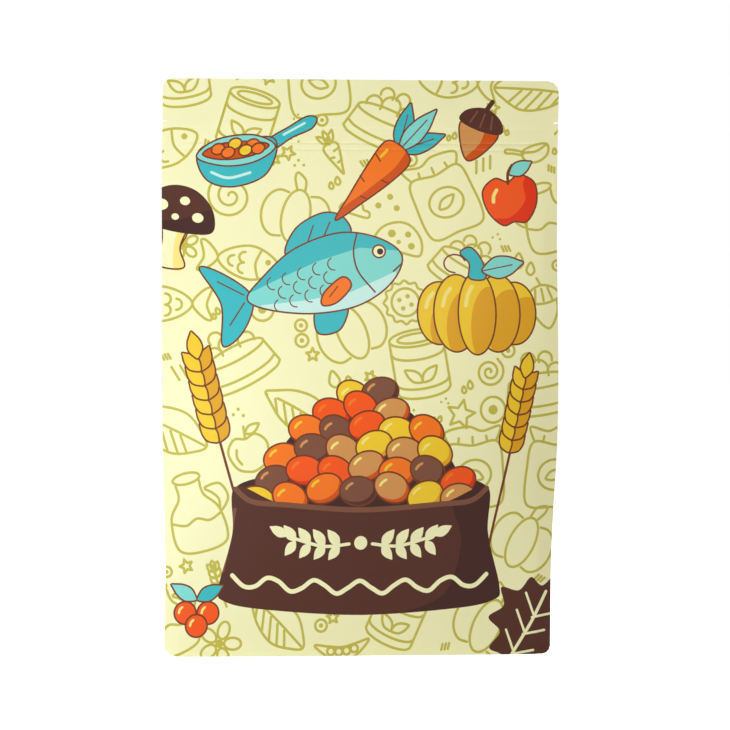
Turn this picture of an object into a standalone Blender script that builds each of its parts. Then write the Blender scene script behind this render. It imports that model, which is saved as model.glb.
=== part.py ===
"""Flat bottom pet food bag: a full quad seal pouch of printed film, standing, as one closed solid.

Metres, +Z up. The bag stands on Z = 0 with its printed front facing -Y, and the origin is the
middle of its base. One quarter of the skin is lofted by rule from the bottom fold to the top
seal and mirrored twice. Two tear notches are then cut in the corner fins.
"""

import math

import bmesh
import bpy

# Sizes of the film, as the bag is cut and sealed
FILM_WIDTH = 0.200
BAG_HEIGHT = 0.286
GUSSET_WIDTH = 0.076
FIN_WIDTH = 0.007
FIN_THICKNESS = 0.0004
CORNER_RADIUS = 0.0055
TOP_SEAL_WIDTH = 0.010

# Zipper, its two ribs measured down from the top edge
ZIPPER_UPPER_RIB = 0.0327
ZIPPER_LOWER_RIB = 0.0360
ZIPPER_RIB_HEIGHT = 0.0004
ZIPPER_RIB_WIDTH = 0.0018
ZIPPER_HALF_THICKNESS = 0.0015
ZIPPER_END_FADE = 8

# Tear notches, measured down from the top edge and in from the fin's edge
NOTCH_DROP = 0.021
NOTCH_DEPTH = 0.0023
NOTCH_HEIGHT = 0.0010
NOTCH_ROUND = 0.0003

# How the food fills the bag
FULL_DEPTH_TO = 0.100
BELLY_HEIGHT = 0.105
FILL_HEIGHT = 0.185
FOOT_SWELL = 0.0018
CREASE_SWELL = 0.0032
FRONT_SWELL = 0.0120
FILL_SWELL = 0.0075
SIDE_SWELL = 0.0040
GUSSET_SLACK = 0.012
SWELL_POWER = 2.5

# How far each edge draws in as the panel swells
FOOT_DRAW_IN = 0.0050
CREASE_DRAW_IN = 0.0052
BELLY_DRAW_IN = 0.0029
FILL_DRAW_IN = 0.0011

# Underside: the sealed rim round the flat bottom panel
RIM_THICKNESS = 0.0008
RIM_GROOVE_WIDTH = 0.0022
RIM_GROOVE_DEPTH = 0.0016
BOTTOM_ROUND = 0.0014

# Mesh steps in one quarter of the skin
FRONT_STEPS = 12
GUSSET_STEPS = 7
CORNER_STEPS = 4
FOOT_STEPS = 4
BODY_STEPS = 19
SHOULDER_STEPS = 4

# Points closer than this are one point
MERGE = 0.000002

CREASE_HEIGHT = GUSSET_WIDTH / 2
SEAL_Z = BAG_HEIGHT - TOP_SEAL_WIDTH
UPPER_RIB_Z = BAG_HEIGHT - ZIPPER_UPPER_RIB
LOWER_RIB_Z = BAG_HEIGHT - ZIPPER_LOWER_RIB
ZIPPER_FOOT_Z = LOWER_RIB_Z - ZIPPER_RIB_WIDTH

# Profiles up the bag, as (height, size) pairs
HALF_DEPTH = [
    (0.0, GUSSET_WIDTH / 2),
    (FULL_DEPTH_TO, GUSSET_WIDTH / 2),
    (ZIPPER_FOOT_Z, ZIPPER_HALF_THICKNESS),
    (SEAL_Z, FIN_THICKNESS),
    (BAG_HEIGHT, FIN_THICKNESS),
]
SWELL = [
    (0.0, FOOT_SWELL),
    (CREASE_HEIGHT, CREASE_SWELL),
    (BELLY_HEIGHT, FRONT_SWELL),
    (FILL_HEIGHT, FILL_SWELL),
    (SEAL_Z, 0.0),
    (BAG_HEIGHT, 0.0),
]
DRAW_IN = [
    (0.0, FOOT_DRAW_IN),
    (CREASE_HEIGHT, CREASE_DRAW_IN),
    (BELLY_HEIGHT, BELLY_DRAW_IN),
    (FILL_HEIGHT, FILL_DRAW_IN),
    (ZIPPER_FOOT_Z, 0.0),
    (BAG_HEIGHT, 0.0),
]


def along(profile, height):
    """The smooth curve through a profile's pairs, level at both ends and with no overshoot."""
    slopes = [(b[1] - a[1]) / (b[0] - a[0]) for a, b in zip(profile, profile[1:])]
    turns = [0.0 if p * q <= 0 else 2 * p * q / (p + q) for p, q in zip(slopes, slopes[1:])]
    tangents = [0.0] + turns + [0.0]
    last = len(slopes) - 1
    k = next((i for i in range(last) if height < profile[i + 1][0]), last)
    (z0, v0), (z1, v1) = profile[k], profile[k + 1]
    t = min(max((height - z0) / (z1 - z0), 0.0), 1.0)
    run = z1 - z0
    return (
        v0 * (1 + 2 * t) * (1 - t) ** 2
        + run * tangents[k] * t * (1 - t) ** 2
        + v1 * t * t * (3 - 2 * t)
        - run * tangents[k + 1] * t * t * (1 - t)
    )


def ease(start, end, height):
    """0 below start, 1 above end, smooth between."""
    t = min(max((height - start) / (end - start), 0.0), 1.0)
    return t * t * (3 - 2 * t)


def fin_edge(height):
    """Half width to the fin's outer edge, with the corners rounded at the top and the foot."""
    edge = FILM_WIDTH / 2 - along(DRAW_IN, height)
    into_corner = max(CORNER_RADIUS - height, height - (BAG_HEIGHT - CORNER_RADIUS), 0.0)
    return edge - CORNER_RADIUS + math.sqrt(max(CORNER_RADIUS**2 - into_corner**2, 0.0))


def fin_root(height):
    """Half width to the line where the fin meets the panel."""
    return FILM_WIDTH / 2 - along(DRAW_IN, height) - FIN_WIDTH


def zipper_rib(height):
    """How far the zipper's two ribs stand out under the film."""
    near = min(abs(height - UPPER_RIB_Z), abs(height - LOWER_RIB_Z))
    return ZIPPER_RIB_HEIGHT * max(0.0, 1 - near / (ZIPPER_RIB_WIDTH / 2))


def front_point(u, height):
    """A point of the front panel, with u from 0 at its middle to 1 at the fin."""
    stand_out = along(SWELL, height) * (1 - u**SWELL_POWER)
    stand_out += zipper_rib(height) * (1 - u**ZIPPER_END_FADE)
    return (u * fin_root(height), -along(HALF_DEPTH, height) - stand_out, height)


def gusset_point(s, height):
    """A point of the side gusset, with s from 1 at the corner to 0 at its middle crease."""
    half_depth = along(HALF_DEPTH, height)
    mouth = half_depth - FIN_THICKNESS
    fold = math.sqrt(max((GUSSET_WIDTH / 2) ** 2 - half_depth**2, 0.0))
    inset = fold * fold / (fold + GUSSET_SLACK)
    inset *= 1 - ease(FILL_HEIGHT, SEAL_Z, height)
    swell = SIDE_SWELL * along(SWELL, height) / FRONT_SWELL
    x = fin_root(height) - inset * (1 - s) + swell * (1 + s - 2 * s * s)
    return (x, -mouth * s, height)


def heights():
    """The heights of the loft's rows, close together in the corners, the zipper and the seal."""
    arc = [CORNER_RADIUS * (1 - math.cos(math.pi / 2 * i / CORNER_STEPS)) for i in range(CORNER_STEPS + 1)]
    rows = list(arc)
    rows += [BAG_HEIGHT - z for z in arc]
    rows += [
        CORNER_RADIUS + (CREASE_HEIGHT - CORNER_RADIUS) * i / FOOT_STEPS for i in range(1, FOOT_STEPS + 1)
    ]
    rows += [
        CREASE_HEIGHT + (ZIPPER_FOOT_Z - CREASE_HEIGHT) * i / BODY_STEPS for i in range(1, BODY_STEPS + 1)
    ]
    half_rib = ZIPPER_RIB_WIDTH / 2
    rows += [LOWER_RIB_Z - half_rib, LOWER_RIB_Z, (LOWER_RIB_Z + UPPER_RIB_Z) / 2]
    rows += [UPPER_RIB_Z, UPPER_RIB_Z + half_rib]
    shoulder = UPPER_RIB_Z + half_rib
    rows += [shoulder + (SEAL_Z - shoulder) * i / SHOULDER_STEPS for i in range(1, SHOULDER_STEPS + 1)]
    return sorted(rows)


def strip(mesh, lower, upper):
    """Faces between two rows, as far as the shorter goes. A face has fewer corners where a point repeats."""
    for i in range(min(len(lower), len(upper)) - 1):
        corners = []
        for point in (lower[i], lower[i + 1], upper[i + 1], upper[i]):
            if point not in corners:
                corners.append(point)
        if len(corners) > 2:
            mesh.faces.new(corners)


def rim_row(mesh, inset, height):
    """One row of the underside, inset from the bag's foot, from the front's middle to the side's."""
    width = fin_root(0.0)
    depth = along(HALF_DEPTH, 0.0)
    narrowing = (width - inset) / width
    row = []
    for i in range(FRONT_STEPS + 1):
        x, y, _ = front_point(i / FRONT_STEPS, 0.0)
        row.append(mesh.verts.new((x * narrowing, y + inset, height)))
    shortening = (depth - inset) / (depth - FIN_THICKNESS)
    for i in range(1, GUSSET_STEPS + 1):
        x, y, _ = gusset_point(1 - i / GUSSET_STEPS, 0.0)
        row.append(mesh.verts.new((x - inset, y * shortening, height)))
    return row


def quarter_skin(mesh):
    """The skin where x >= 0 and y <= 0, open at both mirror planes."""
    corner = FRONT_STEPS
    gusset_columns = range(GUSSET_STEPS + 1)
    foot = None
    below = None
    for height in heights():
        edge = fin_edge(height)
        face_y = -along(HALF_DEPTH, height)
        row = [mesh.verts.new(front_point(i / FRONT_STEPS, height)) for i in range(FRONT_STEPS + 1)]
        row.append(mesh.verts.new((edge, face_y, height)))
        open_fin = height < SEAL_Z - MERGE
        at_seal = abs(height - SEAL_Z) <= MERGE
        row.append(mesh.verts.new((edge, face_y + FIN_THICKNESS if open_fin else 0.0, height)))
        if open_fin:
            row += [mesh.verts.new(gusset_point(1 - i / GUSSET_STEPS, height)) for i in gusset_columns]
        elif at_seal:
            row += [mesh.verts.new((fin_root(height), 0.0, height))] * (GUSSET_STEPS + 1)
        if below:
            strip(mesh, below, row)
        else:
            foot = row
        below = row

    top = below
    middle = [mesh.verts.new((point.co.x, 0.0, BAG_HEIGHT)) for point in top[: corner + 1]]
    strip(mesh, top[: corner + 2], middle + [top[corner + 2]])

    fin_front, fin_tip, fin_back, fin_inner = foot[corner : corner + 4]
    mesh.faces.new((fin_front, fin_inner, fin_back, fin_tip))
    outer = foot[: corner + 1] + foot[corner + 3 :]
    rows = [
        rim_row(mesh, RIM_THICKNESS, 0.0),
        rim_row(mesh, RIM_THICKNESS, RIM_GROOVE_DEPTH),
        rim_row(mesh, RIM_THICKNESS + RIM_GROOVE_WIDTH, RIM_GROOVE_DEPTH),
        rim_row(mesh, RIM_THICKNESS + RIM_GROOVE_WIDTH + BOTTOM_ROUND, 0.0),
    ]
    first = rows[0][: corner + 1] + [rows[0][corner]] + rows[0][corner + 1 :]
    strip(mesh, first, outer)
    for inner, around in zip(rows[1:], rows):
        strip(mesh, inner, around)
    centre = mesh.verts.new((0.0, 0.0, 0.0))
    mesh.faces.new([centre] + rows[-1][::-1])


def film_material():
    """Matte cream film, as the ground of the print shows it."""
    film = bpy.data.materials.new("matte_cream_film")
    film.use_nodes = True
    shader = film.node_tree.nodes["Principled BSDF"]
    shader.inputs["Base Color"].default_value = (0.88, 0.85, 0.52, 1.0)
    shader.inputs["Roughness"].default_value = 0.5
    shader.inputs["Metallic"].default_value = 0.0
    return film


def make_pouch(collection):
    mesh = bmesh.new()
    quarter_skin(mesh)
    data = bpy.data.meshes.new("pouch")
    mesh.to_mesh(data)
    mesh.free()
    pouch = bpy.data.objects.new("pouch", data)
    collection.objects.link(pouch)
    data.materials.append(film_material())
    mirror = pouch.modifiers.new("four_quarters", "MIRROR")
    mirror.use_axis = (True, True, False)
    mirror.merge_threshold = MERGE
    return pouch


def make_notch_cutter(collection, side):
    """A small rounded bar through both fins of one side, from outside the edge to the notch's end."""
    reach = NOTCH_DEPTH * 2
    notch_z = BAG_HEIGHT - NOTCH_DROP
    end_x = fin_edge(notch_z) - NOTCH_DEPTH
    bpy.ops.mesh.primitive_cube_add(size=1.0, location=(side * (end_x + reach / 2), 0.0, notch_z))
    cutter = bpy.context.object
    cutter.name = "notch_cutter_left" if side < 0 else "notch_cutter_right"
    cutter.scale = (reach, GUSSET_WIDTH, NOTCH_HEIGHT)
    bpy.ops.object.transform_apply(location=False, rotation=False, scale=True)
    round_end = cutter.modifiers.new("round_end", "BEVEL")
    round_end.width = NOTCH_ROUND
    round_end.segments = 2
    for holder in list(cutter.users_collection):
        holder.objects.unlink(cutter)
    collection.objects.link(cutter)
    cutter.hide_render = True
    cutter.display_type = "WIRE"
    return cutter


for old in list(bpy.data.objects):
    bpy.data.objects.remove(old, do_unlink=True)

bag_collection = bpy.data.collections.new("flat_bottom_pet_food_bag")
cutter_collection = bpy.data.collections.new("cutters")
bpy.context.scene.collection.children.link(bag_collection)
bpy.context.scene.collection.children.link(cutter_collection)

bag = make_pouch(bag_collection)
for bag_side in (-1, 1):
    cut = bag.modifiers.new("tear_notch", "BOOLEAN")
    cut.operation = "DIFFERENCE"
    cut.solver = "EXACT"
    cut.object = make_notch_cutter(cutter_collection, bag_side)
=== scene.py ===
import math
import random
from functools import cached_property

import bpy
import numpy as np
from mathutils import Matrix, Vector
from mathutils.geometry import delaunay_2d_cdt


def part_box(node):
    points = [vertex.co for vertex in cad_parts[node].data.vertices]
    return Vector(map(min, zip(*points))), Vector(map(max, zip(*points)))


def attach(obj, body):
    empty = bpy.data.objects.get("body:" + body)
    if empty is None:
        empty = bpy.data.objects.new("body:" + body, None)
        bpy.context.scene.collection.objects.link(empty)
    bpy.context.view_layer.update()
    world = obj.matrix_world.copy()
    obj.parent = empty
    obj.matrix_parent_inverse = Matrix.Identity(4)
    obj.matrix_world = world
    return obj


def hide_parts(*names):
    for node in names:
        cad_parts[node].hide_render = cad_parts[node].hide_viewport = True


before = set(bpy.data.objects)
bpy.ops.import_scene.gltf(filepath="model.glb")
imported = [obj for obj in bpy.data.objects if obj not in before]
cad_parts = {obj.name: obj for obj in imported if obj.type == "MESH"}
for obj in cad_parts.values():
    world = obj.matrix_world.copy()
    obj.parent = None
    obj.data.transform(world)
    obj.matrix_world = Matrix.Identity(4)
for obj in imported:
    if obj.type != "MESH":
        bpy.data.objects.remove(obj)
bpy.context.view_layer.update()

# Front panel
# The real piece is the front web of the pouch: matte laminated film, about 0.2 mm thick, printed
# on a reel, cut to outline and heat sealed to the side gussets along its two edge fins, to the
# bottom panel at its foot and to the back panel in the top seal.

# Its sizes, in metres
lowest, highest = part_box("pouch")
BAG_HEIGHT = highest.z - lowest.z
FILM_WIDTH = highest.x - lowest.x
GUSSET_WIDTH = 0.076
FIN_WIDTH = 0.007
FILM = 0.0002
FIN_THICKNESS = 2 * FILM
SEAL_Z = BAG_HEIGHT - 0.010
ZIPPER_RIBS_Z = (BAG_HEIGHT - 0.0319, BAG_HEIGHT - 0.0352)
ZIPPER_FOOT_Z = BAG_HEIGHT - 0.0378
ZIPPER_TAPE_Z = BAG_HEIGHT - 0.0245
RIB_HEIGHT = 0.0004
RIB_HALF_WIDTH = 0.0008
FOLD_Z = GUSSET_WIDTH / 2
BELLY_Z = 0.105
FILL_Z = 0.185
FOOT_SWELL = 0.0018
FRONT_SWELL = 0.012
FOOT_DRAW_IN = 0.005
FOOT_ROOT = FILM_WIDTH / 2 - FOOT_DRAW_IN - FIN_WIDTH
SWELL_POWER = 2.5
SIDE_SWELL = 1 / 3
GUSSET_SLACK = 0.012
LEAN = 0.015
FIN_BEND = 0.33
HEAD_TILT = 0.045
HEAD_CURL = 0.8
# How its soft forms fade towards the fins, as powers of the share of the way there
IMPRINT_POWER = 24.0
SLACK_POWER = 4.0
HEAD_POWER = 8.0
# The tape's imprint as a share of a rib's, and the dents, their rates and where they end
TAPE_IMPRINT = 0.5
DENT_HEIGHT = 0.0005
DENTS_PER_METRE = 26.0
HEAD_DENTS = 0.8
HEAD_DENT_RATES = (2.6, 1.1)
HEAD_SLACK_Z = (BAG_HEIGHT - 0.003, SEAL_Z - 0.004)
FOOT_SLACK_Z = (-0.01, 0.05)
CREASE_SLACK = 0.008
# Profiles up the bag, as (height, size) pairs. A third item marks a sharp fold
HALF_DEPTH = [
    (0.0, GUSSET_WIDTH / 2),
    (0.100, GUSSET_WIDTH / 2),
    (ZIPPER_FOOT_Z, 0.0015),
    (SEAL_Z, FIN_THICKNESS),
    (BAG_HEIGHT, FIN_THICKNESS),
]
SWELL = [(0.0, FOOT_SWELL), (FOLD_Z, 0.0032, "sharp"), (BELLY_Z, FRONT_SWELL), (FILL_Z, 0.0075)]
SWELL += [(SEAL_Z, 0.0), (BAG_HEIGHT, 0.0)]
DRAW_IN = [(0.0, FOOT_DRAW_IN), (FOLD_Z, 0.0052), (BELLY_Z, 0.0029), (FILL_Z, 0.0011)]
DRAW_IN += [(ZIPPER_FOOT_Z, 0.0), (BAG_HEIGHT, 0.0)]
# The flat web, in millimetres
HALF_FILM_MM = FILM_WIDTH * 500
FIN_ROOT_MM = HALF_FILM_MM - FIN_WIDTH * 1000
HEIGHT_MM = BAG_HEIGHT * 1000
NOTCH_Z = HEIGHT_MM - 21
NOTCH_DEPTH = 2.3
NOTCH_HALF = 0.5

# Its inks, as sRGB colours
INKS = {
    "cream": (252, 248, 195),
    "olive": (199, 188, 76),
    "brown": (80, 42, 31),
    "brown_deep": (60, 28, 22),
    "brown_pale": (124, 78, 58),
    "outline": (116, 56, 30),
    "turquoise": (134, 221, 211),
    "turquoise_deep": (62, 188, 194),
    "turquoise_pale": (206, 243, 234),
    "orange": (250, 122, 34),
    "orange_deep": (212, 84, 22),
    "red": (230, 54, 18),
    "red_orange": (249, 90, 28),
    "yellow": (247, 205, 50),
    "yellow_deep": (228, 166, 36),
    "yellow_pale": (251, 232, 132),
    "tan": (214, 150, 84),
    "film_back": (226, 226, 220),
}
DOODLE_LINE = 1.25
PICTURE_LINE = 0.85
CURVE_STEP = 1.3
FINE_STEP = 0.8


def curve_through(points, closed, step):
    """Points along the smooth curve through the given ones, about one step apart."""
    if closed:
        before, after, far = (np.roll(points, shift, 0) for shift in (1, -1, -2))
        starts = points
    else:
        starts, after = points[:-1], points[1:]
        before = np.concatenate([points[:1], points[:-2]])
        far = np.concatenate([points[2:], points[-1:]])
    pieces = []
    for a, b, c, d in zip(before, starts, after, far):
        count = max(1, math.ceil(np.hypot(*(c - b)) / step))
        t = np.arange(count)[:, None] / count
        slope, bow, twist = c - a, 2 * a - 5 * b + 4 * c - d, 3 * b - a - 3 * c + d
        pieces.append(b + 0.5 * (slope * t + bow * t**2 + twist * t**3))
    if not closed:
        pieces.append(points[-1:])
    return np.concatenate(pieces)


def turned(across, up, turn, x, y):
    """Points turned by some degrees about their middle, then moved to x, y."""
    c, s = math.cos(math.radians(turn)), math.sin(math.radians(turn))
    return np.column_stack([x + across * c - up * s, y + across * s + up * c])


class Mark:
    """One shape of the print, in millimetres on the film: a filled outline, or a line if it has a width."""

    def __init__(self, ink, points, width=0.0, closed=True, curved=True, within=None):
        self.ink = ink
        self.points = np.array(points, float)
        self.width = width
        self.closed = closed
        self.curved = curved
        self.within = within

    def placed(self, x, z, size=1.0, turn=0.0, flip=1):
        """The same mark moved, turned and sized. Its line keeps its width."""
        points = turned(self.points[:, 0] * size * flip, self.points[:, 1] * size, turn, x, z)
        within = self.within and self.within.placed(x, z, size, turn, flip)
        return Mark(self.ink, points, self.width, self.closed, self.curved, within)

    @cached_property
    def path(self):
        """The points that the mark runs through, close together along its curves."""
        if not self.curved or len(self.points) < 3:
            return self.points
        span = np.ptp(self.points, axis=0).max()
        return curve_through(self.points, self.closed, FINE_STEP if span < 9 else CURVE_STEP)

    def sides(self):
        """The closed loops that bound the ink."""
        path = self.path
        if not self.width:
            return [path]
        half = self.width / 2
        if not self.curved or len(path) < 3:
            ends = np.roll(path, -1, 0) if self.closed else path[1:]
            return [capsule(a, b, half) for a, b in zip(path, ends)]
        if self.closed:
            along = np.roll(path, -1, 0) - np.roll(path, 1, 0)
        else:
            along = np.gradient(path, axis=0)
        along /= np.hypot(along[:, 0], along[:, 1])[:, None] + 1e-9
        aside = np.column_stack([-along[:, 1], along[:, 0]]) * half
        if self.closed:
            return [path + aside, path - aside]
        first, last = (math.atan2(*along[k][::-1]) for k in (0, -1))
        tip = path[-1] + half * compass(last + math.pi / 2, last - math.pi / 2)[1:-1]
        tail = path[0] + half * compass(first - math.pi / 2, first - math.pi * 3 / 2)[1:-1]
        return [np.concatenate([path + aside, tip, (path - aside)[::-1], tail])]

    def covers(self, spots):
        """Which of the spots the ink lies on."""
        path = self.path
        edge = self.width / 2
        low, high = path.min(0) - edge, path.max(0) + edge
        found = np.all((spots >= low) & (spots <= high), axis=1)
        near = spots[found]
        if not len(near):
            return found
        if self.width:
            inside = distance_to(near, path, self.closed) <= edge
        else:
            inside = inside_loop(near, path)
        if self.within:
            inside &= self.within.covers(near)
        found[found] = inside
        return found


def compass(start, end, count=6):
    """Points of a unit circle from one angle to another, in radians."""
    angles = np.linspace(start, end, count)
    return np.column_stack([np.cos(angles), np.sin(angles)])


def capsule(a, b, half):
    """The outline of a straight line with round ends."""
    heading, quarter = math.atan2(b[1] - a[1], b[0] - a[0]), math.pi / 2
    tail = a + half * compass(heading + quarter, heading + 3 * quarter)
    return np.concatenate([tail, b + half * compass(heading - quarter, heading + quarter)])


def inside_loop(spots, outline):
    """Which spots lie inside a closed outline, by the even and odd rule."""
    x, y = spots.T
    odd = np.zeros(len(spots), bool)
    for (x0, y0), (x1, y1) in zip(outline, np.roll(outline, -1, 0)):
        if y0 != y1:
            crosses = (y0 > y) != (y1 > y)
            odd ^= crosses & (x < x0 + (y - y0) * (x1 - x0) / (y1 - y0))
    return odd


def distance_to(spots, path, closed):
    """How far each spot is from a path."""
    ends = np.roll(path, -1, 0) if closed else path[1:]
    nearest = np.full(len(spots), np.inf)
    for a, b in zip(path, ends):
        run = b - a
        share = np.clip((spots - a) @ run / max(run @ run, 1e-12), 0, 1)
        nearest = np.minimum(nearest, np.hypot(*(spots - a - share[:, None] * run).T))
    return nearest


def oval(x, y, rx, ry=None, turn=0.0, start=0.0, sweep=360.0):
    """Points round an ellipse, or along part of one."""
    whole = sweep == 360.0
    count = 12 if whole else max(3, round(abs(sweep) / 30) + 1)
    angles = np.radians(start + np.linspace(0, sweep, count, endpoint=not whole))
    return turned(rx * np.cos(angles), (rx if ry is None else ry) * np.sin(angles), turn, x, y)


def leaf(x, y, length, width, turn):
    """The outline of a pointed leaf that starts at x, y and grows towards turn."""
    along = np.array([0, 0.1, 0.35, 0.65, 0.9, 1.0, 0.9, 0.65, 0.35, 0.1])
    aside = np.array([0, 0.45, 1, 0.85, 0.3, 0, -0.3, -0.85, -1, -0.45])
    return turned(along * length, aside * width / 2, turn, x, y)


def vein(x, y, length, turn):
    """The two ends of a straight line from x, y towards turn."""
    angle = math.radians(turn)
    return [(x, y), (x + length * math.cos(angle), y + length * math.sin(angle))]


def mirrored(half):
    """The points of one half and the same points on the other side, in the opposite order."""
    return half + [(-x, y) for x, y in reversed(half) if x]


def about_middle(reach, angles):
    """Points at some distances and angles from the middle."""
    return np.column_stack([reach * np.cos(angles), reach * np.sin(angles)])


def fill(ink, points, within=None, curved=True):
    return Mark(ink, points, curved=curved, within=within)


def line(ink, points, width=PICTURE_LINE, closed=False, curved=True, within=None):
    return Mark(ink, points, width, closed, curved, within)


def pen(points, closed=False, curved=True, within=None):
    """A line of the olive ground drawing."""
    return Mark("olive", points, DOODLE_LINE, closed, curved, within)


def loop(points, curved=True):
    return pen(points, True, curved)


def arc(x, y, rx, ry, start, sweep):
    return pen(oval(x, y, rx, ry, 0, start, sweep))


def spot(x, y, r):
    return fill("olive", oval(x, y, r))


# The ground drawing: each motif fits a circle of radius 1
def wheat_ear():
    marks = [pen([(0.1, -1), (0.04, -0.4), (0, 0.2)])]
    for k in range(4):
        marks += [loop(leaf(side * 0.02, -0.25 + 0.27 * k, 0.42, 0.24, 90 - side * 32)) for side in (1, -1)]
    return marks + [loop(leaf(0, 0.62, 0.4, 0.22, 90))]


def sprig():
    marks = [pen([(-0.1, -1), (0.06, -0.4), (0, 0.2), (0.1, 0.55)])]
    for k, turn in enumerate((35, 145, 40, 140)):
        y = -0.55 + 0.28 * k
        marks += [loop(leaf(0.02, y, 0.62, 0.26, turn)), pen(vein(0.02, y, 0.34, turn))]
    return marks + [loop(leaf(0.08, 0.45, 0.55, 0.27, 80))]


def plain_fish():
    body = [(0.98, 0), (0.7, 0.28), (0.25, 0.42), (-0.25, 0.28)]
    body += [(-0.52, 0.02), (-0.25, -0.26), (0.25, -0.4), (0.7, -0.28)]
    tail = [(-0.52, 0.02), (-0.78, 0.34), (-0.98, 0.38), (-0.86, 0), (-0.98, -0.34), (-0.78, -0.3)]
    marks = [loop(body), loop(tail), pen([(0.5, 0.34), (0.4, 0), (0.5, -0.33)]), spot(0.7, 0.08, 0.07)]
    return marks + [arc(x, y, 0.13, 0.13, 90, 180) for x, y in ((0.12, 0.12), (0.12, -0.14), (-0.14, 0))]


def food_tin():
    marks = [loop(oval(0, 0.62, 0.66, 0.2)), loop(oval(0, 0.62, 0.46, 0.11))]
    marks += [pen([(x, 0.6), (x, -0.62)]) for x in (-0.66, 0.66)]
    marks += [arc(0, y, 0.66, 0.2, 180, 180) for y in (-0.62, 0.3, -0.4)]
    return marks + [loop(leaf(0, -0.44, 0.52, 0.24, turn)) for turn in (40, 140)]


def full_bowl():
    marks = [loop(oval(0, 0.1, 0.78, 0.17))]
    marks += [pen([(side * 0.78, 0.08), (side * 0.92, -0.5)]) for side in (-1, 1)]
    marks += [arc(0, -0.5, 0.92, 0.2, 180, 180), arc(0, -0.3, 0.87, 0.19, 190, 160)]
    food = ((-0.42, 0.26, 0.2), (0.42, 0.26, 0.2), (0, 0.34, 0.24), (-0.2, 0.58, 0.17), (0.22, 0.6, 0.17))
    return marks + [arc(x, y, r, r, -20, 220) for x, y, r in food]


def small_carrot():
    root = mirrored([(-0.3, 0.3), (0, 0.42)]) + mirrored([(0.26, -0.1), (0.1, -0.65), (0, -0.98)])
    rings = ([(-0.24, 0.08), (-0.06, 0.04)], [(0.22, -0.16), (0.04, -0.2)], [(-0.14, -0.42), (0, -0.45)])
    leaves = [loop(leaf(0, 0.38, 0.6, 0.22, turn)) for turn in (55, 90, 125)]
    return [loop(root)] + [pen(ring) for ring in rings] + leaves


def mushroom():
    cap = mirrored([(-0.85, 0), (-0.72, 0.5), (-0.25, 0.85)]) + [(0.4, -0.12), (-0.4, -0.12)]
    stalk = mirrored([(-0.26, -0.14), (-0.22, -0.5), (-0.34, -0.85), (0, -0.95)])
    flecks = ((-0.35, 0.38, 0.14), (0.2, 0.55, 0.11), (0.45, 0.2, 0.12), (-0.02, 0.18, 0.08))
    return [loop(cap), pen(stalk)] + [spot(*fleck) for fleck in flecks]


def acorn():
    cap = mirrored([(-0.6, 0.15), (-0.5, 0.5), (0, 0.7)]) + [(0, 0.02)]
    nut = mirrored([(-0.5, 0.1), (-0.42, -0.4), (0, -0.9)])
    marks = [loop(cap), pen([(0, 0.7), (0.1, 0.98)]), pen(nut)]
    return marks + [pen([(x, 0.12 - abs(x) * 0.1), (x * 0.7, 0.56)]) for x in (-0.34, 0, 0.34)]


def pea_pod():
    pod = mirrored([(-0.98, 0.3), (-0.5, -0.16), (0, -0.32)]) + mirrored([(0.5, 0.22), (0, 0.14)])
    return [loop(pod)] + [loop(oval(x, -0.02 + 0.16 * abs(x), 0.13)) for x in (-0.42, -0.14, 0.14, 0.42)]


def star():
    reach = np.where(np.arange(10) % 2, 0.45, 0.95)
    return [loop(about_middle(reach, np.radians(90 + 36 * np.arange(10))), curved=False)]


def drops():
    drop = loop(mirrored([(0, 1), (0.55, -0.1), (0, -0.7)]))
    return [drop.placed(-0.4, 0.2, 0.6), drop.placed(0.45, -0.25, 0.5)]


def swirl():
    turns = np.linspace(0, 4.4 * math.pi, 22)
    return [pen(about_middle(0.08 + 0.88 * turns / turns[-1], turns))]


def flower():
    marks = []
    for a in np.arange(5) * 1.2566:
        marks += [loop(oval(0.56 * math.cos(a), 0.56 * math.sin(a), 0.36, 0.24, math.degrees(a)))]
    return marks + [spot(0, 0, 0.17)]


def small_squash():
    marks = [loop(oval(0, -0.12, 0.34, 0.66))]
    marks += [arc(side * 0.42, -0.12, 0.42, 0.58, 160 + side * 90, 220) for side in (-1, 1)]
    return marks + [pen([(-0.1, 0.54), (-0.06, 0.8), (0.16, 0.95), (0.2, 0.8), (0.1, 0.54)])]


def food_sack():
    sack = mirrored([(-0.6, 0.55), (-0.72, 0), (-0.66, -0.9), (0, -0.96)]) + [(0, 0.5)]
    mouth = [(-0.58, 0.56), (-0.7, 0.9), (-0.25, 0.82), (0.1, 0.95), (0.66, 0.86), (0.58, 0.56)]
    marks = [loop(sack), pen(mouth), loop(oval(0, -0.2, 0.42, 0.36)), loop(leaf(-0.22, -0.3, 0.5, 0.22, 25))]
    return marks + [pen([(x, 0.7), (x * 1.06, 0.56)]) for x in (-0.34, 0, 0.34)]


def scoop():
    tray = [(-0.9, 0.1), (-0.78, -0.32), (-0.3, -0.5), (0.2, -0.34), (0.28, 0.12), (-0.3, 0.24)]
    handle = [(0.28, 0), (0.6, 0.18), (0.96, 0.34), (0.9, 0.48), (0.56, 0.34), (0.28, 0.16)]
    return [loop(tray), pen([(-0.86, 0.08), (-0.32, -0.04), (0.26, 0.1)]), loop(handle)]


def biscuit():
    reach = np.where(np.arange(24) % 2, 0.82, 0.95)
    marks = [loop(about_middle(reach, np.radians(np.arange(0, 360, 15)))), loop(oval(0, 0, 0.6))]
    return marks + [spot(0.28 * math.cos(a), 0.28 * math.sin(a), 0.1) for a in np.arange(4) * 1.5708 + 0.4]


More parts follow.
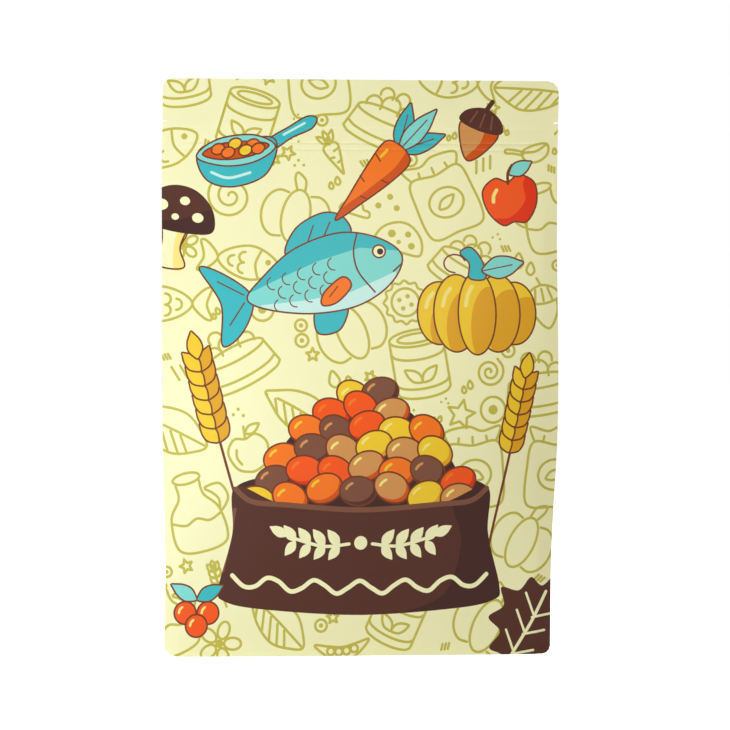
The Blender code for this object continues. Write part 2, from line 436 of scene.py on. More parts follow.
def hatched_leaf():
    edge = leaf(-0.95, -0.3, 1.98, 0.98, 17)
    marks = [loop(edge), pen([(-0.95, -0.3), (0, 0.02), (0.6, 0.18)])]
    for x in np.arange(-0.6, 0.75, 0.24):
        marks += [pen([(x, -0.7), (x + 0.3, 0.05 + 0.3 * x)], within=fill("olive", edge))]
    return marks


def milk_jug():
    jug = mirrored([(-0.28, 0.62), (-0.3, 0.3), (-0.58, -0.1), (-0.58, -0.8), (0, -0.95)])
    handle = [(0.36, 0.42), (0.72, 0.44), (0.84, 0.1), (0.6, -0.16), (0.62, 0.1), (0.5, 0.28)]
    milk = mirrored([(-0.57, -0.2), (-0.28, -0.3), (0, -0.2)])
    return [pen(jug), loop(oval(0, 0.72, 0.32, 0.12)), loop(handle), pen(milk)]


def cloud():
    puffs = [(-0.8, 0.15), (-0.4, 0.2), (-0.1, 0.5), (0.35, 0.36), (0.5, 0.1), (0.88, 0.05)]
    return [loop([(-0.9, -0.3), *puffs, (0.9, -0.3), (0, -0.36)])]


def speckles():
    return [spot(x, y, 0.2) for x, y in ((-0.6, -0.3), (0.05, 0.4), (0.6, -0.25))]


def small_ring():
    return [loop(oval(0, 0, 0.8)), spot(0, 0, 0.3)]


def dashes():
    return [pen([(-0.8 + 0.5 * k, -0.4), (-0.5 + 0.5 * k, 0.4)]) for k in range(3)]


def round_fruit():
    skin = mirrored([(0, 0.42), (0.4, 0.5), (0.72, 0.1), (0.55, -0.5), (0.15, -0.72)])
    marks = [loop(skin), pen([(0, 0.42), (0.06, 0.85)]), loop(leaf(0.06, 0.6, 0.6, 0.28, 20))]
    return marks + [arc(0, -0.1, 0.46, 0.46, 150, 70)]


LARGE_MOTIFS = [food_sack, food_tin, full_bowl, plain_fish, milk_jug, small_squash, hatched_leaf]
MIDDLE_MOTIFS = [wheat_ear, sprig, small_carrot, mushroom, acorn, pea_pod, scoop, biscuit]
MIDDLE_MOTIFS += [round_fruit, flower, swirl]
SMALL_MOTIFS = [star, drops, small_ring, speckles, dashes, cloud, swirl, flower]
# The smallest and largest radius of each group, in millimetres
GROUND_SIZES = ((19, 22, LARGE_MOTIFS), (11.5, 14.5, MIDDLE_MOTIFS))
GROUND_SIZES += ((7.0, 9.0, SMALL_MOTIFS), (3.0, 4.2, SMALL_MOTIFS[:5]))
TRIES = 1100
CLOSENESS = 0.93
OVERHANG = 2
LARGEST_TURN = 28


def ground_drawing(half_width, height, seed, kept_clear=()):
    """The olive drawing all over a panel: motifs from large to small, each in the first free place."""
    draw = random.Random(seed)
    taken, marks = [], []
    for smallest, largest, motifs in GROUND_SIZES:
        order = []
        for _ in range(TRIES):
            reach = draw.uniform(smallest, largest)
            x = draw.uniform(-half_width - OVERHANG, half_width + OVERHANG)
            z = draw.uniform(-OVERHANG, height + OVERHANG)
            if any(math.hypot(x - a, z - b) < CLOSENESS * (reach + r) for a, b, r in taken):
                continue
            if any(cover.covers(np.array([(x, z)]))[0] for cover in kept_clear):
                continue
            taken.append((x, z, reach))
            if not order:
                order = draw.sample(motifs, len(motifs))
            turn = draw.uniform(-LARGEST_TURN, LARGEST_TURN)
            flip = draw.choice((-1, 1))
            marks += [mark.placed(x, z, reach, turn, flip) for mark in order.pop()()]
    return marks


# The pictures, drawn in millimetres about their own middle, from the back layer to the front
def contour(points):
    return line("outline", points, closed=True)


def shape(ink, points):
    """A filled outline with its brown contour."""
    return [fill(ink, points), contour(points)]


def two_tone(ink, points, other_ink, part):
    """A filled outline, and a part of it in another ink."""
    body = fill(ink, points)
    return [body, fill(other_ink, part, body)]


def strokes(width, *paths):
    """Open brown lines of one width."""
    return [line("outline", path, width) for path in paths]


def picture_fish():
    body = [(50, -2), (41, 11), (22, 20), (-4, 19), (-26, 9)]
    body += [(-36, 1), (-26, -8), (-4, -17), (20, -20), (40, -14)]
    marks = shape("turquoise_deep", [(-33, 1), (-43, 17), (-55, 25), (-50, 3), (-56, -18), (-43, -14)])
    marks += shape("turquoise_deep", [(-8, 16), (0, 29), (17, 33), (27, 27), (25, 16)])
    marks += shape("turquoise_deep", [(-2, -14), (-6, -27), (6, -29), (14, -17)])
    marks += strokes(0.7, [(-37, 4), (-48, 15)], [(-38, 0), (-49, -9)])
    marks += strokes(0.7, [(4, 20), (10, 28)], [(13, 20), (19, 27)])
    flank = fill("turquoise", body)
    back = [(-40, 3), (-20, 6), (6, 9), (30, 9), (52, 0), (50, 40), (-40, 40)]
    belly = [(-30, -4), (-6, -9), (18, -12), (44, -9), (44, -40), (-30, -40)]
    marks += [flank, fill("turquoise_deep", back, flank, False), fill("turquoise_pale", belly, flank, False)]
    for row in range(3):
        for k in range(5 - row % 2):
            scale = oval(-20 + 8.5 * k + 4.2 * (row % 2), 5 - 6.2 * row, 3.4, 3.4, 0, 100, 160)
            marks += [line("outline", scale, 0.6, within=flank)]
    marks += strokes(PICTURE_LINE, [(31, 17), (26, 8), (25, -3), (30, -16)])
    marks += shape("orange", [(16, -3), (4, -8), (1, -14), (9, -15), (19, -9)])
    marks += strokes(0.6, [(12, -7), (6, -11)])
    marks += shape("cream", oval(39, 4, 3.4)) + [fill("brown_deep", oval(39.6, 3.7, 1.7))]
    return marks + strokes(PICTURE_LINE, [(48.5, -6), (43, -8.5)]) + [contour(body)]


def picture_squash():
    marks = []
    for x, rx, ry in ((-21, 12, 17), (21, 12, 17), (-11.5, 12.5, 21), (11.5, 12.5, 21), (0, 10.5, 22.5)):
        lobe = oval(x, 0, rx, ry)
        marks += two_tone("yellow", lobe, "yellow_deep", oval(x + 7, -8, rx, ry)) + [contour(lobe)]
        marks += [line("yellow_pale", oval(x, 0, rx * 0.62, ry * 0.7, 0, 115, 50), 2.0)]
    marks += shape("turquoise_deep", [(-4, 19), (-4, 27), (-9, 33), (-3, 36), (3, 29), (5, 19)])
    marks += shape("turquoise", leaf(3, 23, 24, 12, 12)) + strokes(0.6, [(3, 23), (20, 26.6)])
    return marks + strokes(0.8, oval(-12, 27, 6, 5, 0, 20, 250))


def picture_carrot():
    root = [(-10, 17), (-5, 22), (5, 22), (10, 17), (9, 2), (5, -18), (0, -37), (-4, -20), (-8, 0)]
    shadow = [(4, 30), (5, 10), (2, -10), (-2, -40), (20, -40), (20, 30)]
    rings = [[(-9, 9), (-4, 7.5)], [(9, 1), (4, -0.5)], [(-7, -7), (-3, -8)], [(4.6, -15), (1.5, -16)]]
    marks = []
    for turn, length, ink in ((62, 30, "turquoise_deep"), (118, 30, "turquoise_deep"), (90, 34, "turquoise")):
        marks += shape(ink, leaf(0, 19, length, 11, turn)) + strokes(0.6, vein(0, 19, 0.75 * length, turn))
    marks += two_tone("orange", root, "orange_deep", shadow) + [contour(root)]
    return marks + strokes(0.7, *rings) + [line("yellow", [(-5.5, 15), (-5.5, 10)], 1.4)]


def picture_apple():
    skin = mirrored([(0, 10), (7, 13), (15, 7), (14, -5), (7, -14), (0, -13)])
    shadow = [(20, 16), (9, 9), (8, -2), (-2, -10), (-14, -10), (-10, -22), (20, -20)]
    marks = two_tone("red_orange", skin, "red", shadow)
    marks += [line("yellow_pale", oval(0, 0, 10, 9, 0, 135, 45), 1.8), contour(skin)]
    return marks + strokes(1.4, [(0, 9), (1, 15), (4, 19)]) + shape("turquoise", leaf(1.5, 14, 15, 8, 20))


def picture_scoop():
    handle = [(20, 3), (33, 9), (46, 13), (50, 19), (44, 21), (32, 16), (19, 10)]
    tray = [(-28, 3), (-23, -11), (-8, -17), (12, -13), (22, 1), (20, 11), (-3, 12), (-22, 11)]
    marks = shape("turquoise_deep", handle) + [line("turquoise_pale", [(28, 11.5), (42, 17)], 1.2)]
    marks += shape("turquoise_deep", tray)
    marks += shape("turquoise", [(-28, 5), (-12, -3), (8, -3), (22, 5), (9, 14), (-14, 14)])
    marks += shape("orange_deep", [(-24, 6), (-12, 1), (6, 1), (18, 6), (8, 10), (-12, 11)])
    for x, y in ((-14, 8), (8, 8), (-3, 10), (-8, 5), (3, 5), (11, 5)):
        marks += shape("yellow" if abs(x) == 3 else "orange", oval(x, y, 4.3, 3.3, 15))
    return marks + [line("turquoise_pale", [(-20, -6), (-10, -11), (4, -9.5)], 1.4)]


def picture_mushroom():
    cap = mirrored([(-24, -2), (-21, 12), (-8, 22)]) + [(10, -6), (-10, -6)]
    stalk = mirrored([(-8, -4), (-6, -16), (-11, -27), (0, -30)])
    marks = shape("cream", stalk)
    marks += [fill("yellow_pale", [(3, -6), (2, -16), (5, -30), (11, -27), (6, -16), (8, -6)])]
    marks += strokes(PICTURE_LINE, stalk)
    shadow = [(-26, -4), (0, 1), (24, 12), (30, -10), (0, -14), (-26, -10)]
    marks += two_tone("brown", cap, "brown_deep", shadow)
    flecks = ((-11, 9, 4.2), (3, 14, 3.2), (13, 5, 3.6), (-1, 3, 2.4))
    return marks + [fill("cream", oval(x, y, r, r * 0.85)) for x, y, r in flecks]


def picture_oak_leaf():
    edge = [(0, -34), (5, -24), (15, -24), (14, -12), (25, -8), (20, 3)]
    edge += [(27, 12), (16, 16), (13, 27), (4, 26), (0, 36)]
    marks = [line("brown", [(0, -46), (0, -30)], 2.6), fill("brown", mirrored(edge))]
    marks += [line("cream", [(0, -44), (0, -20), (1, 4), (0, 24)], 1.6)]
    for y, side in ((-14, 1), (-12, -1), (0, 1), (2, -1), (12, 1), (14, -1)):
        marks += [line("cream", [(0, y - 6), (side * 11, y + 3)], 1.2)]
    return marks


def picture_acorn():
    nut = mirrored([(-13, 2), (-11, -12), (0, -25)])
    cap = mirrored([(-16, 1), (-13, 10), (0, 15)]) + [(0, -2)]
    marks = two_tone("tan", nut, "orange_deep", [(5, 6), (4, -10), (-3, -28), (18, -24), (18, 6)])
    marks += [contour(nut), fill("brown", cap), line("brown", [(0, 14), (2, 21)], 2.4)]
    return marks + [line("brown_pale", [(x, 1 + abs(x) * 0.1), (x * 0.72, 11)], 0.8) for x in (-8, 0, 8)]


def picture_wheat():
    marks = strokes(1.3, [(2, -62), (1, -20), (0, 24)])
    for k in range(6):
        for turn, ink in ((58, "yellow_deep"), (122, "yellow")):
            marks += shape(ink, leaf(0, -8 + 7.5 * k, 14, 7.5, turn))
    return marks + shape("yellow", leaf(0, 36, 15, 8, 90))


def picture_berries():
    marks = shape("turquoise", leaf(0, 4, 17, 8, 150)) + shape("turquoise_deep", leaf(0, 4, 17, 8, 28))
    for x, y in ((-6.5, -3), (6.5, -3), (0, -10)):
        marks += shape("red_orange", oval(x, y, 6.2))
        marks += [line("yellow_pale", oval(x, y, 3.6, 3.6, 0, 120, 60), 1.2)]
    return marks


def kibble(x, y, shade, ink, shine, turn):
    """One piece of dry food: a rounded pillow with a shaded side and a highlight."""
    edge = oval(x, y, 9.4, 7.2, turn)
    marks = two_tone(shade, edge, ink, oval(x - 1.5, y + 1.7, 9.2, 7.0, turn))
    return marks + [contour(edge), line(shine, oval(x, y, 6.2, 4.4, 0, 120, 45), 1.3)]


# The shade, colour and highlight of each kind of kibble
FOOD_TINTS = (
    ("orange_deep", "orange", "yellow"),
    ("yellow_deep", "yellow", "yellow_pale"),
    ("brown", "brown_pale", "tan"),
    ("orange_deep", "tan", "yellow_pale"),
    ("red", "red_orange", "orange"),
)
# The rows of the heap from the top: shift, count, pitch and height
HEAP_ROWS = [(2, 2, 13, 101), (-1, 3, 15, 93.5), (2, 5, 15, 84.5)]
HEAP_ROWS += [(-2, 6, 15.4, 75), (2, 7, 15.6, 65), (-2, 7, 17.2, 55)]


def picture_heap():
    """The heaped food: rows of kibble, the top row furthest back."""
    marks = [fill("brown_deep", mirrored([(-56, 48), (-50, 62), (-34, 84), (-12, 100)]))]
    order = 0
    for shift, count, pitch, y in HEAP_ROWS:
        for k in range(count):
            tints = FOOD_TINTS[order * 2 % 5 if order % 3 else (order + 1) % 5]
            x = shift + (k - (count - 1) / 2) * pitch
            dip = 0.0024 * x * x
            marks += kibble(x, y - dip + (order % 2) * 2.2, *tints, (order * 47) % 70 - 35)
            order += 1
    return marks


def picture_bowl():
    """The bowl's dark inside, which lies behind the food, and the bowl's wall with its pattern."""
    edge = mirrored([(-64, 57), (-66, 34), (-73, 8), (-70, 1), (-50, -3), (0, -6)])
    edge += mirrored([(40, 48.8), (0, 46.5)])
    shadow = [(46, 60), (52, 30), (44, 4), (20, -8), (90, -10), (90, 60)]
    wall = two_tone("brown", edge, "brown_deep", shadow)
    clay = wall[0]
    wall += [line("brown_pale", [(-64.5, 46), (-67, 34), (-71, 16)], 1.8, within=clay)]
    wall += [line("brown_pale", mirrored([(-64, 56), (-56, 50), (-40, 48.4), (0, 45.8)]), 2.6)]
    wave = [(x, 12 + 3.2 * math.cos(x / 11.5 * math.pi) - 0.0009 * (4900 - x * x)) for x in range(-66, 67, 6)]
    wall += [line("cream", wave, 2.2, within=clay)]
    for side in (-1, 1):
        wall += [line("cream", [(side * 6, 29), (side * 20, 28), (side * 38, 33)], 1.6)]
        for k in range(4):
            x, y = side * (11 + 7.5 * k), 28.2 + 0.25 * k * k
            wall += [fill("cream", leaf(x, y, 10, 5.2, 90 - side * 38))]
            wall += [fill("cream", leaf(x, y, 9, 4.8, -90 + side * 38))]
        wall += [fill("cream", leaf(side * 38, 33, 10, 5, 90 - side * 62))]
    return [fill("brown_deep", oval(0, 56, 64, 9.5))], wall + [fill("cream", oval(0, 29.5, 3.4))]


# The rule that forms the flat film into the full bag, as geometry nodes
class Wire:
    """A value in a node tree. A formula written with wires adds the Math nodes that work it out."""

    def __init__(self, tree, socket):
        self.tree = tree
        self.socket = socket

    def math(self, operation, *others):
        feeds = dict(enumerate((self, *others)))
        return add_node(self.tree, "ShaderNodeMath", feeds, operation=operation)

    def __add__(self, other):
        return self.math("ADD", other)

    def __sub__(self, other):
        return self.math("SUBTRACT", other)

    def __mul__(self, other):
        return self.math("MULTIPLY", other)

    def __truediv__(self, other):
        return self.math("DIVIDE", other)

    def __pow__(self, other):
        return self.math("POWER", other)

    def __rsub__(self, other):
        return self * -1.0 + other


def add_node(tree, kind, feeds, output=0, **settings):
    """Adds a node with its settings, feeds its inputs and gives the wire of one output."""
    node = tree.nodes.new(kind)
    for name, value in settings.items():
        setattr(node, name, value)
    for key, value in feeds.items():
        if isinstance(value, Wire):
            tree.links.new(value.socket, node.inputs[key])
        else:
            node.inputs[key].default_value = value
    return Wire(tree, node.outputs[output])


def new_tree(name, inputs, outputs, kind="GeometryNodeTree"):
    """A node group with named inputs, given back as wires, and its output node."""
    tree = bpy.data.node_groups.new(name, kind)
    for label, socket in inputs.items():
        tree.interface.new_socket(label, in_out="INPUT", socket_type=socket)
    for label, socket in outputs.items():
        tree.interface.new_socket(label, in_out="OUTPUT", socket_type=socket)
    start = tree.nodes.new("NodeGroupInput")
    wires = {label: Wire(tree, start.outputs[label]) for label in inputs}
    return tree, wires, tree.nodes.new("NodeGroupOutput")


def put_out(tree, end, **results):
    for label, wire in results.items():
        tree.links.new(wire.socket, end.inputs[label])


def smooth_through(pairs, pitch=0.008):
    """Heights and sizes along the smooth curve through a profile's pairs, which has no overshoot."""
    slopes = [(b[1] - a[1]) / (b[0] - a[0]) for a, b in zip(pairs, pairs[1:])]
    level = [0.0] + [0.0 if p * q <= 0 else 2 * p * q / (p + q) for p, q in zip(slopes, slopes[1:])] + [0.0]
    found = []
    for k, (low, high) in enumerate(zip(pairs, pairs[1:])):
        run = high[0] - low[0]
        leaving = run * (slopes[k] if len(low) > 2 else level[k])
        arriving = run * (slopes[k] if len(high) > 2 else level[k + 1])
        steps = math.ceil(run / pitch)
        for t in np.arange(steps) / steps:
            back = 1 - t
            size = low[1] * (1 + 2 * t) * back**2 + leaving * t * back**2
            size += high[1] * t * t * (3 - 2 * t) - arriving * t * t * back
            found.append((low[0] + t * run, size))
    return found + [pairs[-1][:2]]


def profile(tree, height, pairs):
    """A size that changes up the bag, as a curve node that the height is looked up in."""
    largest = max(pair[1] for pair in pairs)
    folds = [pair[0] for pair in pairs if len(pair) > 2]
    samples = smooth_through(pairs)
    node = tree.nodes.new("ShaderNodeFloatCurve")
    curve = node.mapping.curves[0]
    for z, size in samples[1:-1]:
        curve.points.new(z / BAG_HEIGHT, size / largest)
    for point, (z, size) in zip(curve.points, samples):
        point.location = (z / BAG_HEIGHT, size / largest)
        point.handle_type = "VECTOR" if z in folds else "AUTO_CLAMPED"
    node.mapping.update()
    tree.links.new((height / BAG_HEIGHT).socket, node.inputs["Value"])
    return Wire(tree, node.outputs[0]) * largest


def ramp(tree, value, start, end):
    """0 at start and 1 at end, smooth between."""
    feeds = {"Value": value, "From Min": start, "From Max": end}
    return add_node(tree, "ShaderNodeMapRange", feeds, interpolation_type="SMOOTHERSTEP")


def noise(tree, place, scale, detail, roughness=0.5):
    """Uneven values from 0 to 1, about a half in the middle."""
    feeds = {"Vector": place, "Scale": scale, "Detail": detail, "Roughness": roughness}
    return add_node(tree, "ShaderNodeTexNoise", feeds)


def dents(tree, w, across, height):
    """Soft uneven dents of the filled film, from -1 to 1."""
    place = add_node(tree, "ShaderNodeCombineXYZ", {0: across, 1: w["Seed"], 2: height})
    return noise(tree, place, w["Dents per Metre"], 1.0, 0.35) * 2.0 - 1.0


FORM_LABELS = ["Film Width", "Gusset Width", "Fin Width", "Dent Height", "Dents per Metre"]
FORM_LABELS += ["Seed", "Facing", "Lean"]
FORM_INPUTS = dict.fromkeys(FORM_LABELS, "NodeSocketFloat")
SPOT_INPUTS = dict.fromkeys(("Across", "Height", "Outer Skin"), "NodeSocketFloat")


def turned_about(tree, w, x, y, height):
    """The point, turned half round with the panels that face the other way, on a bag that leans a little.
    Above its zipper the empty head of the bag nods a little to the front."""
    leaning = x * w["Facing"] + (height - BAG_HEIGHT / 2) * w["Lean"]
    above = (height - ZIPPER_FOOT_Z).math("MAXIMUM", 0.0)
    nodding = y * w["Facing"] - above * (above * HEAD_CURL + HEAD_TILT)
    return add_node(tree, "ShaderNodeCombineXYZ", {0: leaning, 1: nodding, 2: height})


def fin_bend(tree, height):
    """How far the fins bend back from the front's plane, for each metre of their width."""
    return ramp(tree, height, SEAL_Z, FILL_Z) * FIN_BEND


def front_rule():
    """Where a spot of the flat front or back film comes to lie on the full bag."""
    tree, w, end = new_tree("front_rule", {**FORM_INPUTS, **SPOT_INPUTS}, {"Position": "NodeSocketVector"})
    across, height = w["Across"], w["Height"]
    from_middle = across.math("ABSOLUTE")
    flat_half = w["Film Width"] * 0.5 - w["Fin Width"]
    share = (from_middle / flat_half).math("MINIMUM", 1.0)
    past_root = (from_middle - flat_half).math("MAXIMUM", 0.0)
    x = across.math("SIGN") * (share * (flat_half - profile(tree, height, DRAW_IN)) + past_root)
    stand_out = profile(tree, height, SWELL) * (1.0 - share**SWELL_POWER)
    imprint = ramp(tree, height, ZIPPER_TAPE_Z + RIB_HALF_WIDTH, ZIPPER_TAPE_Z) * TAPE_IMPRINT
    for rib_z in ZIPPER_RIBS_Z:
        imprint = imprint + ramp(tree, (height - rib_z).math("ABSOLUTE"), RIB_HALF_WIDTH, 0.0)
    stand_out = stand_out + imprint * (1.0 - share**IMPRINT_POWER) * w["Outer Skin"] * RIB_HEIGHT
    slack = (1.0 - share**SLACK_POWER) * ramp(tree, height, SEAL_Z, FILL_Z)
    slack = slack * ramp(tree, height, *FOOT_SLACK_Z)
    stand_out = stand_out + dents(tree, w, across, height) * w["Dent Height"] * slack
    head = (1.0 - share**HEAD_POWER) * ramp(tree, height, *HEAD_SLACK_Z)
    head = head * ramp(tree, height, FILL_Z, ZIPPER_FOOT_Z)
    ripple = dents(tree, w, across * HEAD_DENT_RATES[0], height * HEAD_DENT_RATES[1])
    stand_out = stand_out + ripple * w["Dent Height"] * HEAD_DENTS * head
    y = past_root * fin_bend(tree, height) - profile(tree, height, HALF_DEPTH) - stand_out
    put_out(tree, end, Position=turned_about(tree, w, x, y, height))
    return tree


NARROWEST_MOUTH = 0.00002


def gusset_rule():
    """Where a spot of a flat side gusset comes to lie: its two fins, its walls and its middle crease."""
    tree, w, end = new_tree("gusset_rule", {**FORM_INPUTS, **SPOT_INPUTS}, {"Position": "NodeSocketVector"})
    across, height = w["Across"], w["Height"]
    from_middle = across.math("ABSOLUTE")
    wall = w["Gusset Width"] * 0.5
    share = (from_middle / wall).math("MINIMUM", 1.0)
    past_root = (from_middle - wall).math("MAXIMUM", 0.0)
    half_depth = profile(tree, height, HALF_DEPTH)
    fold = (wall * wall - half_depth * half_depth).math("MAXIMUM", 0.0).math("SQRT")
    inset = fold * fold / (fold + GUSSET_SLACK)
    swell = profile(tree, height, SWELL) * SIDE_SWELL
    root = w["Film Width"] * 0.5 - w["Fin Width"] - profile(tree, height, DRAW_IN)
    x = root + past_root - inset * (1.0 - share) + swell * (share + 1.0 - share * share * 2.0)
    slack = (1.0 - share**SLACK_POWER) * ramp(tree, from_middle, 0.0, CREASE_SLACK)
    slack = slack * ramp(tree, height, SEAL_Z, FILL_Z) * ramp(tree, height, *FOOT_SLACK_Z)
    x = x + dents(tree, w, across, height) * w["Dent Height"] * slack
    mouth = (half_depth - FIN_THICKNESS).math("MAXIMUM", NARROWEST_MOUTH)
    y = across.math("SIGN") * (mouth * share - past_root * fin_bend(tree, height))
    put_out(tree, end, Position=turned_about(tree, w, x, y, height))
    return tree


def film_frame(rule):
    """The place of a spot on the full bag, and which way the film faces there."""
    outputs = {"Position": "NodeSocketVector", "Normal": "NodeSocketVector"}
    tree, w, end = new_tree(rule.name + "_frame", {**FORM_INPUTS, **SPOT_INPUTS}, outputs)

    def place(step_across, step_up):
        feeds = {**w, "Across": w["Across"] + step_across, "Height": w["Height"] + step_up}
        return add_node(tree, "GeometryNodeGroup", feeds, node_tree=rule)

    def between(a, b):
        return add_node(tree, "ShaderNodeVectorMath", {0: a, 1: b}, operation="SUBTRACT")

    step = 0.0003
    aside = between(place(step, 0.0), place(-step, 0.0))
    upward = between(place(0.0, step), place(0.0, -step))
    cross = add_node(tree, "ShaderNodeVectorMath", {0: aside, 1: upward}, operation="CROSS_PRODUCT")
    normal = add_node(tree, "ShaderNodeVectorMath", {0: cross}, operation="NORMALIZE")
    put_out(tree, end, Position=place(0.0, 0.0), Normal=normal)
    return tree


# A corner's normal is read this share of the way to its face's middle, so that a fold stays sharp
CORNER_PULL = 0.04
SEAL_STEP = 0.0004


def forming_tree(rule):
    """Forms a flat web of film, whose thickness lies along Y, by a rule, and gives it its material."""
    inputs = {"Geometry": "NodeSocketGeometry", **FORM_INPUTS}
    inputs.update({"Thicker Seal": "NodeSocketFloat", "Material": "NodeSocketMaterial"})
    tree, w, end = new_tree("form_by_" + rule.name, inputs, {"Geometry": "NodeSocketGeometry"})
    sizes = {label: w[label] for label in FORM_INPUTS}
    frame_group = film_frame(rule)

    def framed(spot, output):
        parts = tree.nodes.new("ShaderNodeSeparateXYZ")
        tree.links.new(spot.socket, parts.inputs[0])
        across, depth, height = (Wire(tree, parts.outputs[k]) for k in range(3))
        feeds = {**sizes, "Across": across, "Height": height, "Outer Skin": 1.0 - depth / FILM}
        return add_node(tree, "GeometryNodeGroup", feeds, output, node_tree=frame_group), depth, height

    here = add_node(tree, "GeometryNodeInputPosition", {})
    face = add_node(tree, "GeometryNodeFieldOnDomain", {0: here}, data_type="FLOAT_VECTOR", domain="FACE")
    in_face = add_node(tree, "ShaderNodeMix", {0: CORNER_PULL, 4: here, 5: face}, 1, data_type="VECTOR")
    feeds = {"Geometry": w["Geometry"], "Name": "film_normal", "Value": framed(in_face, "Normal")[0]}
    kind = {"data_type": "FLOAT_VECTOR", "domain": "CORNER"}
    stored = add_node(tree, "GeometryNodeStoreNamedAttribute", feeds, **kind)
    position, depth, height = framed(here, "Position")
    normal, _, _ = framed(here, "Normal")
    thickness = depth * (w["Thicker Seal"] * ramp(tree, height, SEAL_Z - SEAL_STEP, SEAL_Z) + 1.0)
    inward = add_node(tree, "ShaderNodeVectorMath", {0: normal, "Scale": thickness * -1.0}, operation="SCALE")
    moved = add_node(tree, "ShaderNodeVectorMath", {0: position, 1: inward}, operation="ADD")
    formed = add_node(tree, "GeometryNodeSetPosition", {"Geometry": stored, "Position": moved})
    real = add_node(tree, "GeometryNodeRealizeInstances", {"Geometry": formed})
    feeds = {"Geometry": real, "Material": w["Material"]}
    put_out(tree, end, Geometry=add_node(tree, "GeometryNodeSetMaterial", feeds))
    return tree


# Cutting and printing the flat web
def cut_outline(half_width, height, foot_radii, top_radii):
    """The web's outline in millimetres: round corners, and a tear notch in each edge."""
    root = half_width - NOTCH_DEPTH + NOTCH_HALF
    notch = [(half_width, NOTCH_Z - NOTCH_HALF), (root, NOTCH_Z - NOTCH_HALF)]
    notch += list(oval(root, NOTCH_Z, NOTCH_HALF, NOTCH_HALF, 0, 270, -180)[1:-1])
    notch += [(root, NOTCH_Z + NOTCH_HALF), (half_width, NOTCH_Z + NOTCH_HALF)]

    def corner(side, z, radius, start):
        inward = radius if z == 0 else -radius
        return list(oval(side * (half_width - radius), z + inward, radius, radius, 0, start, 90))

    outline = corner(-1, 0, foot_radii[0], 180) + corner(1, 0, foot_radii[1], 270) + notch
    outline += corner(1, height, top_radii[1], 0) + corner(-1, height, top_radii[0], 90)
    return np.array(outline + [(-x, y) for x, y in notch[::-1]], float)


def triangles_within(outline, paths, spots):
    """Triangles that fill the outline, with an edge along every path and a corner at every spot."""
    points, edges = [], []
    for path, closed in paths:
        first, count = len(points), len(path)
        points += [Vector(point) for point in path]
        edges += [(first + k, first + (k + 1) % count) for k in range(count if closed else count - 1)]
    points += [Vector(spot) for spot in spots]
    found = delaunay_2d_cdt(points, edges, [], 0, 1e-4, True)
    corners = np.array([tuple(point) for point in found[0]])
    faces = np.array(found[2])
    faces = faces[inside_loop(corners[faces].mean(1), outline)]
    used, packed = np.unique(faces, return_inverse=True)
    order = {old: new for new, old in enumerate(used.tolist())}
    origin = {source: order[k] for k, sources in enumerate(found[3]) if k in order for source in sources}
    return corners[used], packed.reshape(-1, 3), origin


ROW_RISE = 0.87


def grid_spots(outline, pitch, extra_heights=()):
    """Spots in staggered rows inside the outline, and in extra rows where the film has a fine form."""
    low, high = outline.min(0), outline.max(0)
    rows = []
    for k, z in enumerate(np.arange(low[1] + pitch / 2, high[1], pitch * ROW_RISE)):
        rows.append((z, np.arange(low[0] + pitch * (0.25 + 0.5 * (k % 2)), high[0], pitch)))
    rows += [(z, np.arange(low[0] + pitch / 2, high[0], pitch / 2)) for z in extra_heights]
    spots = np.concatenate([np.column_stack([across, np.full(len(across), z)]) for z, across in rows])
    return spots[inside_loop(spots, outline)]


def rim_of(faces):
    """The corners round the edge of some triangles, in order."""
    pairs = np.concatenate([faces[:, [0, 1]], faces[:, [1, 2]], faces[:, [2, 0]]])
    made = {tuple(pair) for pair in pairs.tolist()}
    after = {a: b for a, b in made if (b, a) not in made}
    order = [next(iter(after))]
    while len(order) < len(after):
        order.append(after[order[-1]])
    return order


def linear(colour):
    """An sRGB colour of 0 to 255 as the linear colour that a shader takes."""
    share = np.array(colour, float) / 255
    return np.where(share <= 0.04045, share / 12.92, ((share + 0.055) / 1.055) ** 2.4)


PRINT_PITCH = 3.0
BACK_PITCH = 4.0
FOLD_STEP = 2.5
# The shares of the bake chart that the printed skin and the plain skin fill, and the gap round them
PRINT_CHART = 0.98
PLAIN_CHART = 0.4
CHART_GAP = 0.01


